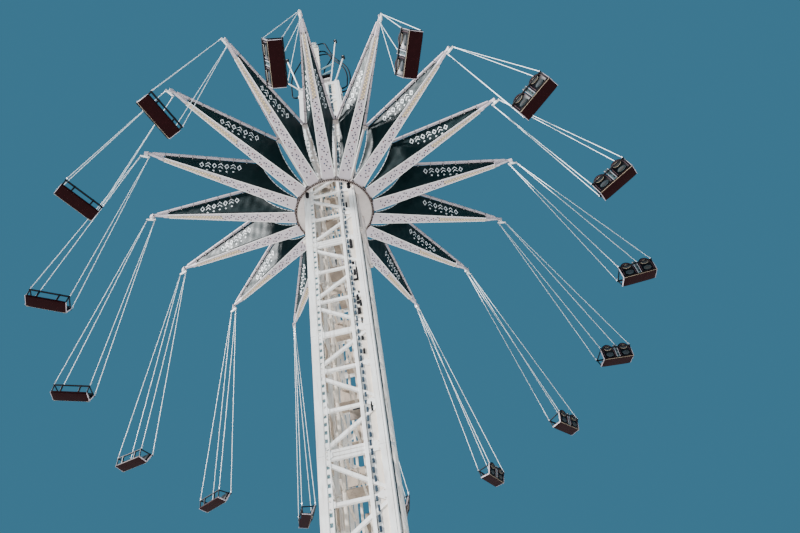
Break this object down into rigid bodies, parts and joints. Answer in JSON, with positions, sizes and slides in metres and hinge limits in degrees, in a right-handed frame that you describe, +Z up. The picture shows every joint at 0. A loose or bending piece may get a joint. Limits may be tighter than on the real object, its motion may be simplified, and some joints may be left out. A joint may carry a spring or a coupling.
{
  "type": "chair swing tower ride",
  "caption": "Lattice mast with a climbing carriage, a turning star of arms with fabric panels, and a double chair hanging on chains from each arm.",
  "frame": {"origin": "centre of the base plate's underside, on the mast's axis", "axes": "+Z up the mast; +X and +Y square to the mast's faces, with the picture taken from the -Y side"},
  "size_m": [16.1998, 16.2624, 37.1614],
  "materials": {
    "white_steel": "weathered gloss paint on steel",
    "grey_steel": "satin paint on steel",
    "arm_steel": "satin paint on steel, with lamp rows underneath",
    "green_fabric": "coated woven fabric",
    "chair_shell": "dark gloss shell on a steel frame",
    "black_rubber": "hose cover"
  },
  "bodies": {
    "tower": {"base_plate": "white_steel", "mast_section_1": "white_steel", "mast_section_2": "white_steel", "mast_section_3": "white_steel", "mast_section_4": "white_steel", "mast_head": "white_steel", "hose_1": "black_rubber", "hose_2": "black_rubber", "hose_3": "black_rubber", "hose_4": "black_rubber"},
    "carriage": {"carriage_frame": "grey_steel"},
    "rotor": {"rotor_ring": "grey_steel", "arm_01": "arm_steel", "arm_02": "arm_steel", "arm_03": "arm_steel", "arm_04": "arm_steel", "arm_05": "arm_steel", "arm_06": "arm_steel", "arm_07": "arm_steel", "arm_08": "arm_steel", "arm_09": "arm_steel", "arm_10": "arm_steel", "arm_11": "arm_steel", "arm_12": "arm_steel", "arm_13": "arm_steel", "arm_14": "arm_steel", "arm_15": "arm_steel", "arm_16": "arm_steel", "banner_01": "green_fabric", "banner_02": "green_fabric", "banner_03": "green_fabric", "banner_04": "green_fabric", "banner_05": "green_fabric", "banner_06": "green_fabric", "banner_07": "green_fabric", "banner_08": "green_fabric", "banner_09": "green_fabric", "banner_10": "green_fabric", "banner_11": "green_fabric", "banner_12": "green_fabric", "banner_13": "green_fabric", "banner_14": "green_fabric", "banner_15": "green_fabric", "banner_16": "green_fabric"},
    "chair_01": {"chair_01": "chair_shell"},
    "chair_02": {"chair_02": "chair_shell"},
    "chair_03": {"chair_03": "chair_shell"},
    "chair_04": {"chair_04": "chair_shell"},
    "chair_05": {"chair_05": "chair_shell"},
    "chair_06": {"chair_06": "chair_shell"},
    "chair_07": {"chair_07": "chair_shell"},
    "chair_08": {"chair_08": "chair_shell"},
    "chair_09": {"chair_09": "chair_shell"},
    "chair_10": {"chair_10": "chair_shell"},
    "chair_11": {"chair_11": "chair_shell"},
    "chair_12": {"chair_12": "chair_shell"},
    "chair_13": {"chair_13": "chair_shell"},
    "chair_14": {"chair_14": "chair_shell"},
    "chair_15": {"chair_15": "chair_shell"},
    "chair_16": {"chair_16": "chair_shell"}
  },
  "joints": [
    {"name": "carriage_lift", "type": "slide", "parent": "tower", "child": "carriage", "axis": [0, 0, 1], "range_m": [-18, 4.8]},
    {"name": "rotor_spin", "type": "hinge", "parent": "carriage", "child": "rotor", "pos_m": [0, 0, 26.08], "axis": [0, 0, 1], "continuous": true},
    {"name": "chair_swing_01", "type": "hinge", "parent": "rotor", "child": "chair_01", "pos_m": [0.5166, -5.8934, 26.08], "axis": [-0.9908, 0.1352, 0], "range_deg": [-13.41, 22]},
    {"name": "chair_swing_02", "type": "hinge", "parent": "rotor", "child": "chair_02", "pos_m": [2.7326, -5.2471, 26.08], "axis": [-0.9819, -0.1894, 0], "range_deg": [-14.65, 22]},
    {"name": "chair_swing_03", "type": "hinge", "parent": "rotor", "child": "chair_03", "pos_m": [4.5326, -3.8019, 26.08], "axis": [-0.8245, -0.5659, 0], "range_deg": [-15.19, 22]},
    {"name": "chair_swing_04", "type": "hinge", "parent": "rotor", "child": "chair_04", "pos_m": [5.6425, -1.778, 26.08], "axis": [-0.4909, -0.8712, 0], "range_deg": [-15.03, 22]},
    {"name": "chair_swing_05", "type": "hinge", "parent": "rotor", "child": "chair_05", "pos_m": [5.8934, 0.5166, 26.08], "axis": [-0.0992, -0.9951, 0], "range_deg": [-14.64, 22]},
    {"name": "chair_swing_06", "type": "hinge", "parent": "rotor", "child": "chair_06", "pos_m": [5.2471, 2.7326, 26.08], "axis": [0.2262, -0.9741, 0], "range_deg": [-14.38, 22]},
    {"name": "chair_swing_07", "type": "hinge", "parent": "rotor", "child": "chair_07", "pos_m": [3.8019, 4.5326, 26.08], "axis": [0.5027, -0.8645, 0], "range_deg": [-14.44, 22]},
    {"name": "chair_swing_08", "type": "hinge", "parent": "rotor", "child": "chair_08", "pos_m": [1.778, 5.6425, 26.08], "axis": [0.7702, -0.6379, 0], "range_deg": [-14.52, 22]},
    {"name": "chair_swing_09", "type": "hinge", "parent": "rotor", "child": "chair_09", "pos_m": [-0.5166, 5.8934, 26.08], "axis": [0.9611, -0.276, 0], "range_deg": [-14.38, 22]},
    {"name": "chair_swing_10", "type": "hinge", "parent": "rotor", "child": "chair_10", "pos_m": [-2.7326, 5.2471, 26.08], "axis": [0.9918, 0.1282, 0], "range_deg": [-14.17, 22]},
    {"name": "chair_swing_11", "type": "hinge", "parent": "rotor", "child": "chair_11", "pos_m": [-4.5326, 3.8019, 26.08], "axis": [0.8831, 0.4691, 0], "range_deg": [-13.96, 22]},
    {"name": "chair_swing_12", "type": "hinge", "parent": "rotor", "child": "chair_12", "pos_m": [-5.6425, 1.778, 26.08], "axis": [0.6684, 0.7438, 0], "range_deg": [-13.53, 22]},
    {"name": "chair_swing_13", "type": "hinge", "parent": "rotor", "child": "chair_13", "pos_m": [-5.8934, -0.5166, 26.08], "axis": [0.3053, 0.9522, 0], "range_deg": [-12.65, 22]},
    {"name": "chair_swing_14", "type": "hinge", "parent": "rotor", "child": "chair_14", "pos_m": [-5.2471, -2.7326, 26.08], "axis": [-0.2103, 0.9776, 0], "range_deg": [-11.69, 22]},
    {"name": "chair_swing_15", "type": "hinge", "parent": "rotor", "child": "chair_15", "pos_m": [-3.8019, -4.5326, 26.08], "axis": [-0.6726, 0.74, 0], "range_deg": [-11.5, 22]},
    {"name": "chair_swing_16", "type": "hinge", "parent": "rotor", "child": "chair_16", "pos_m": [-1.778, -5.6425, 26.08], "axis": [-0.9069, 0.4213, 0], "range_deg": [-12.17, 22]}
  ]
}
